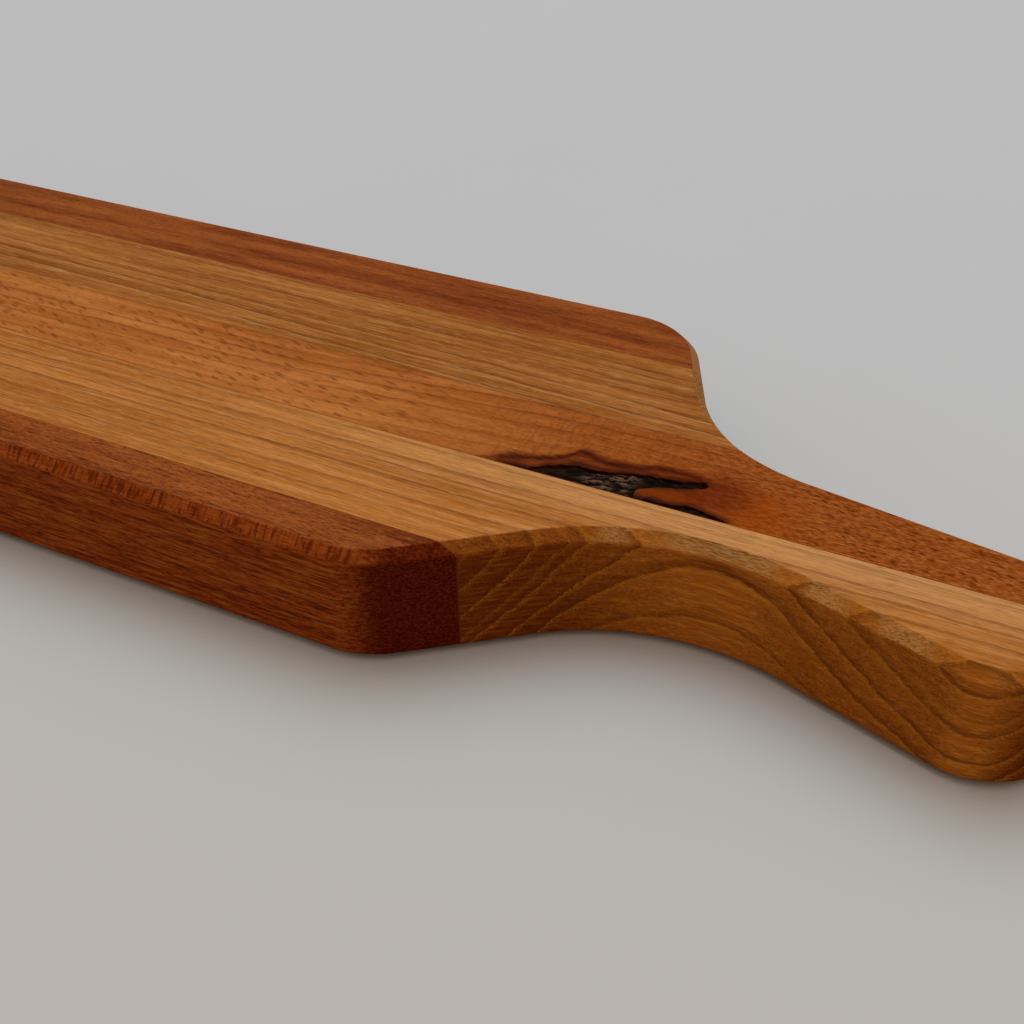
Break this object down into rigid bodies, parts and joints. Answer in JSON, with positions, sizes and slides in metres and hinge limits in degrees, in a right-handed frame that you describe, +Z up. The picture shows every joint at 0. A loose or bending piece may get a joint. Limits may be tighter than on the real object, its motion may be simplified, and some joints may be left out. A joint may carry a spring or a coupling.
{
  "type": "cutting board",
  "caption": "Edge-glued wooden cutting board with rounded shoulders, a chamfered top edge and a flared handle that leans to one side.",
  "frame": {"origin": "Middle of the underside's bounding box, on the surface that the board lies on.", "axes": "+X runs along the board towards the handle, +Y across it towards the far edge, +Z up out of the cutting face."},
  "size_m": [0.3906, 0.115, 0.025],
  "materials": {
    "sapele": "oiled satin",
    "elm": "oiled satin",
    "beech": "oiled satin",
    "wood_glue": "sanded flush and oiled",
    "bark": "rough, natural"
  },
  "bodies": {
    "root": {"near_red_stave": "sapele", "near_light_stave": "elm", "centre_beech_stave": "beech", "far_light_stave": "elm", "far_red_stave": "sapele", "near_outer_glue_line": "wood_glue", "near_inner_glue_line": "wood_glue", "far_inner_glue_line": "wood_glue", "far_outer_glue_line": "wood_glue", "bark_inclusion": "bark", "bark_streak": "bark"}
  },
  "joints": []
}
